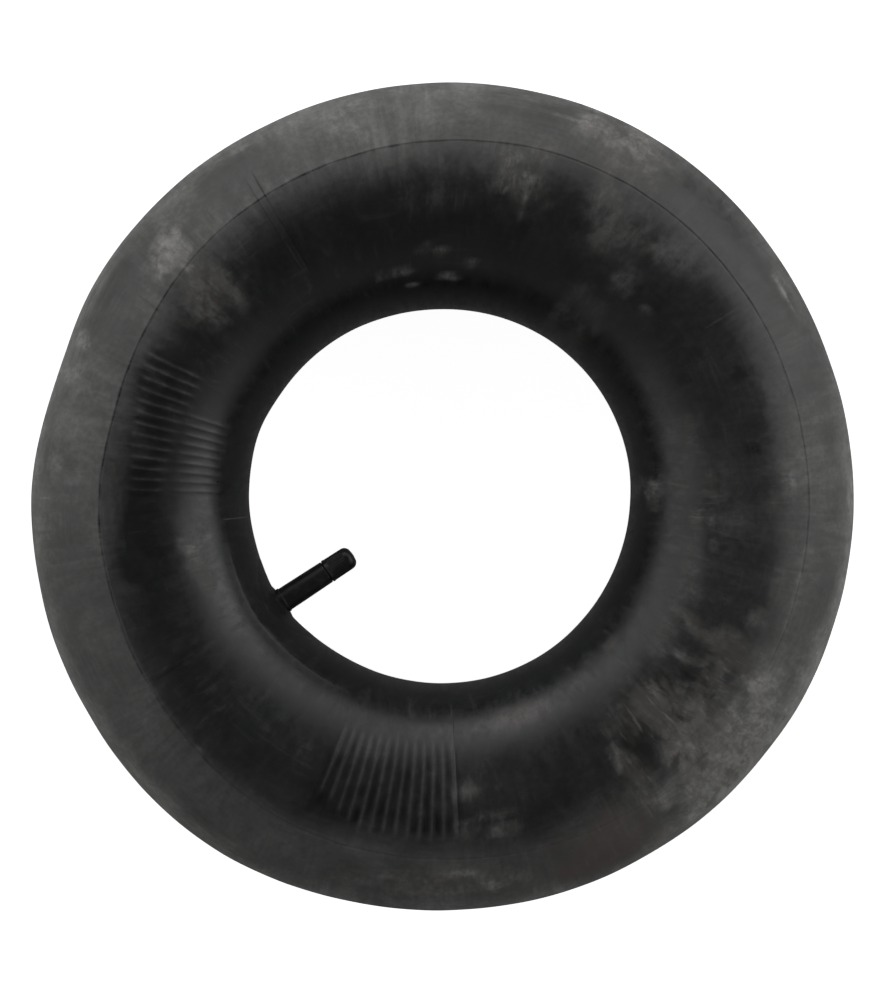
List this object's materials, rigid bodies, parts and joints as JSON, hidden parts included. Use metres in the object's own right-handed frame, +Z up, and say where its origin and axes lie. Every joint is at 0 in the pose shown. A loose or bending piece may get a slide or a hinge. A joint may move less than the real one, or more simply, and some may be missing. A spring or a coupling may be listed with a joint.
{
  "type": "inner tube",
  "caption": "Round inflated rubber tube lying flat, with a straight rubber-covered valve stem that points into its hole and a screw-on cap.",
  "frame": {"origin": "middle of the underside of the tube, where it lies on a floor", "axes": "+Z up along the ring's axis, +X along the valve stem from its root on the tube towards the middle of the ring"},
  "size_m": [0.388, 0.388, 0.1042],
  "materials": {
    "tube_rubber": "satin black butyl rubber, dusted with talc",
    "stem_rubber": "smooth black moulded rubber",
    "seal_rubber": "matte black rubber",
    "cap_plastic": "satin black moulded plastic",
    "brass": "turned brass",
    "spring_steel": "bright drawn wire",
    "core_gasket": "red fluoropolymer ring"
  },
  "bodies": {
    "tube": {"tube_body": "tube_rubber", "valve_base": "stem_rubber"},
    "neck": {"stem_neck": "stem_rubber"},
    "stem": {"stem_jacket": "stem_rubber", "valve_insert": "brass", "core_plug": "brass", "core_barrel": "brass", "core_gasket": "core_gasket", "core_spring": "spring_steel"},
    "core_pin": {"core_pin": "brass", "core_cup": "brass", "core_seal": "seal_rubber"},
    "cap_seal": {"cap_gasket": "seal_rubber"},
    "cap": {"cap_shell": "cap_plastic"}
  },
  "joints": [
    {"name": "stem_tilt", "type": "hinge", "parent": "tube", "child": "neck", "pos_m": [-0.0844, 0, 0.05172], "axis": [0, 1, 0], "range_deg": [-20, 20], "stiffness_Nm_per_rad": 0.8, "deforming": ["stem_neck"]},
    {"name": "stem_sway", "type": "hinge", "parent": "neck", "child": "stem", "pos_m": [-0.0844, 0, 0.05172], "axis": [0, 0, 1], "range_deg": [-20, 20], "stiffness_Nm_per_rad": 0.8, "deforming": ["stem_neck"]},
    {"name": "pin_press", "type": "slide", "parent": "stem", "child": "core_pin", "axis": [-1, 0, 0], "range_m": [0, 0.0016], "stiffness_N_per_m": 1200, "springref_m": -0.0015, "deforming": ["core_spring"]},
    {"name": "cap_travel", "type": "slide", "parent": "stem", "child": "cap_seal", "axis": [1, 0, 0], "range_m": [0, 0.00953]},
    {"name": "cap_turn", "type": "hinge", "parent": "cap_seal", "child": "cap", "pos_m": [-0.055, 0, 0.05172], "axis": [1, 0, 0], "range_deg": [0, 4320]}
  ],
  "couplings": [
    {"joint": "cap_turn", "follows": "cap_travel", "rad_per_m": 7915.8}
  ]
}
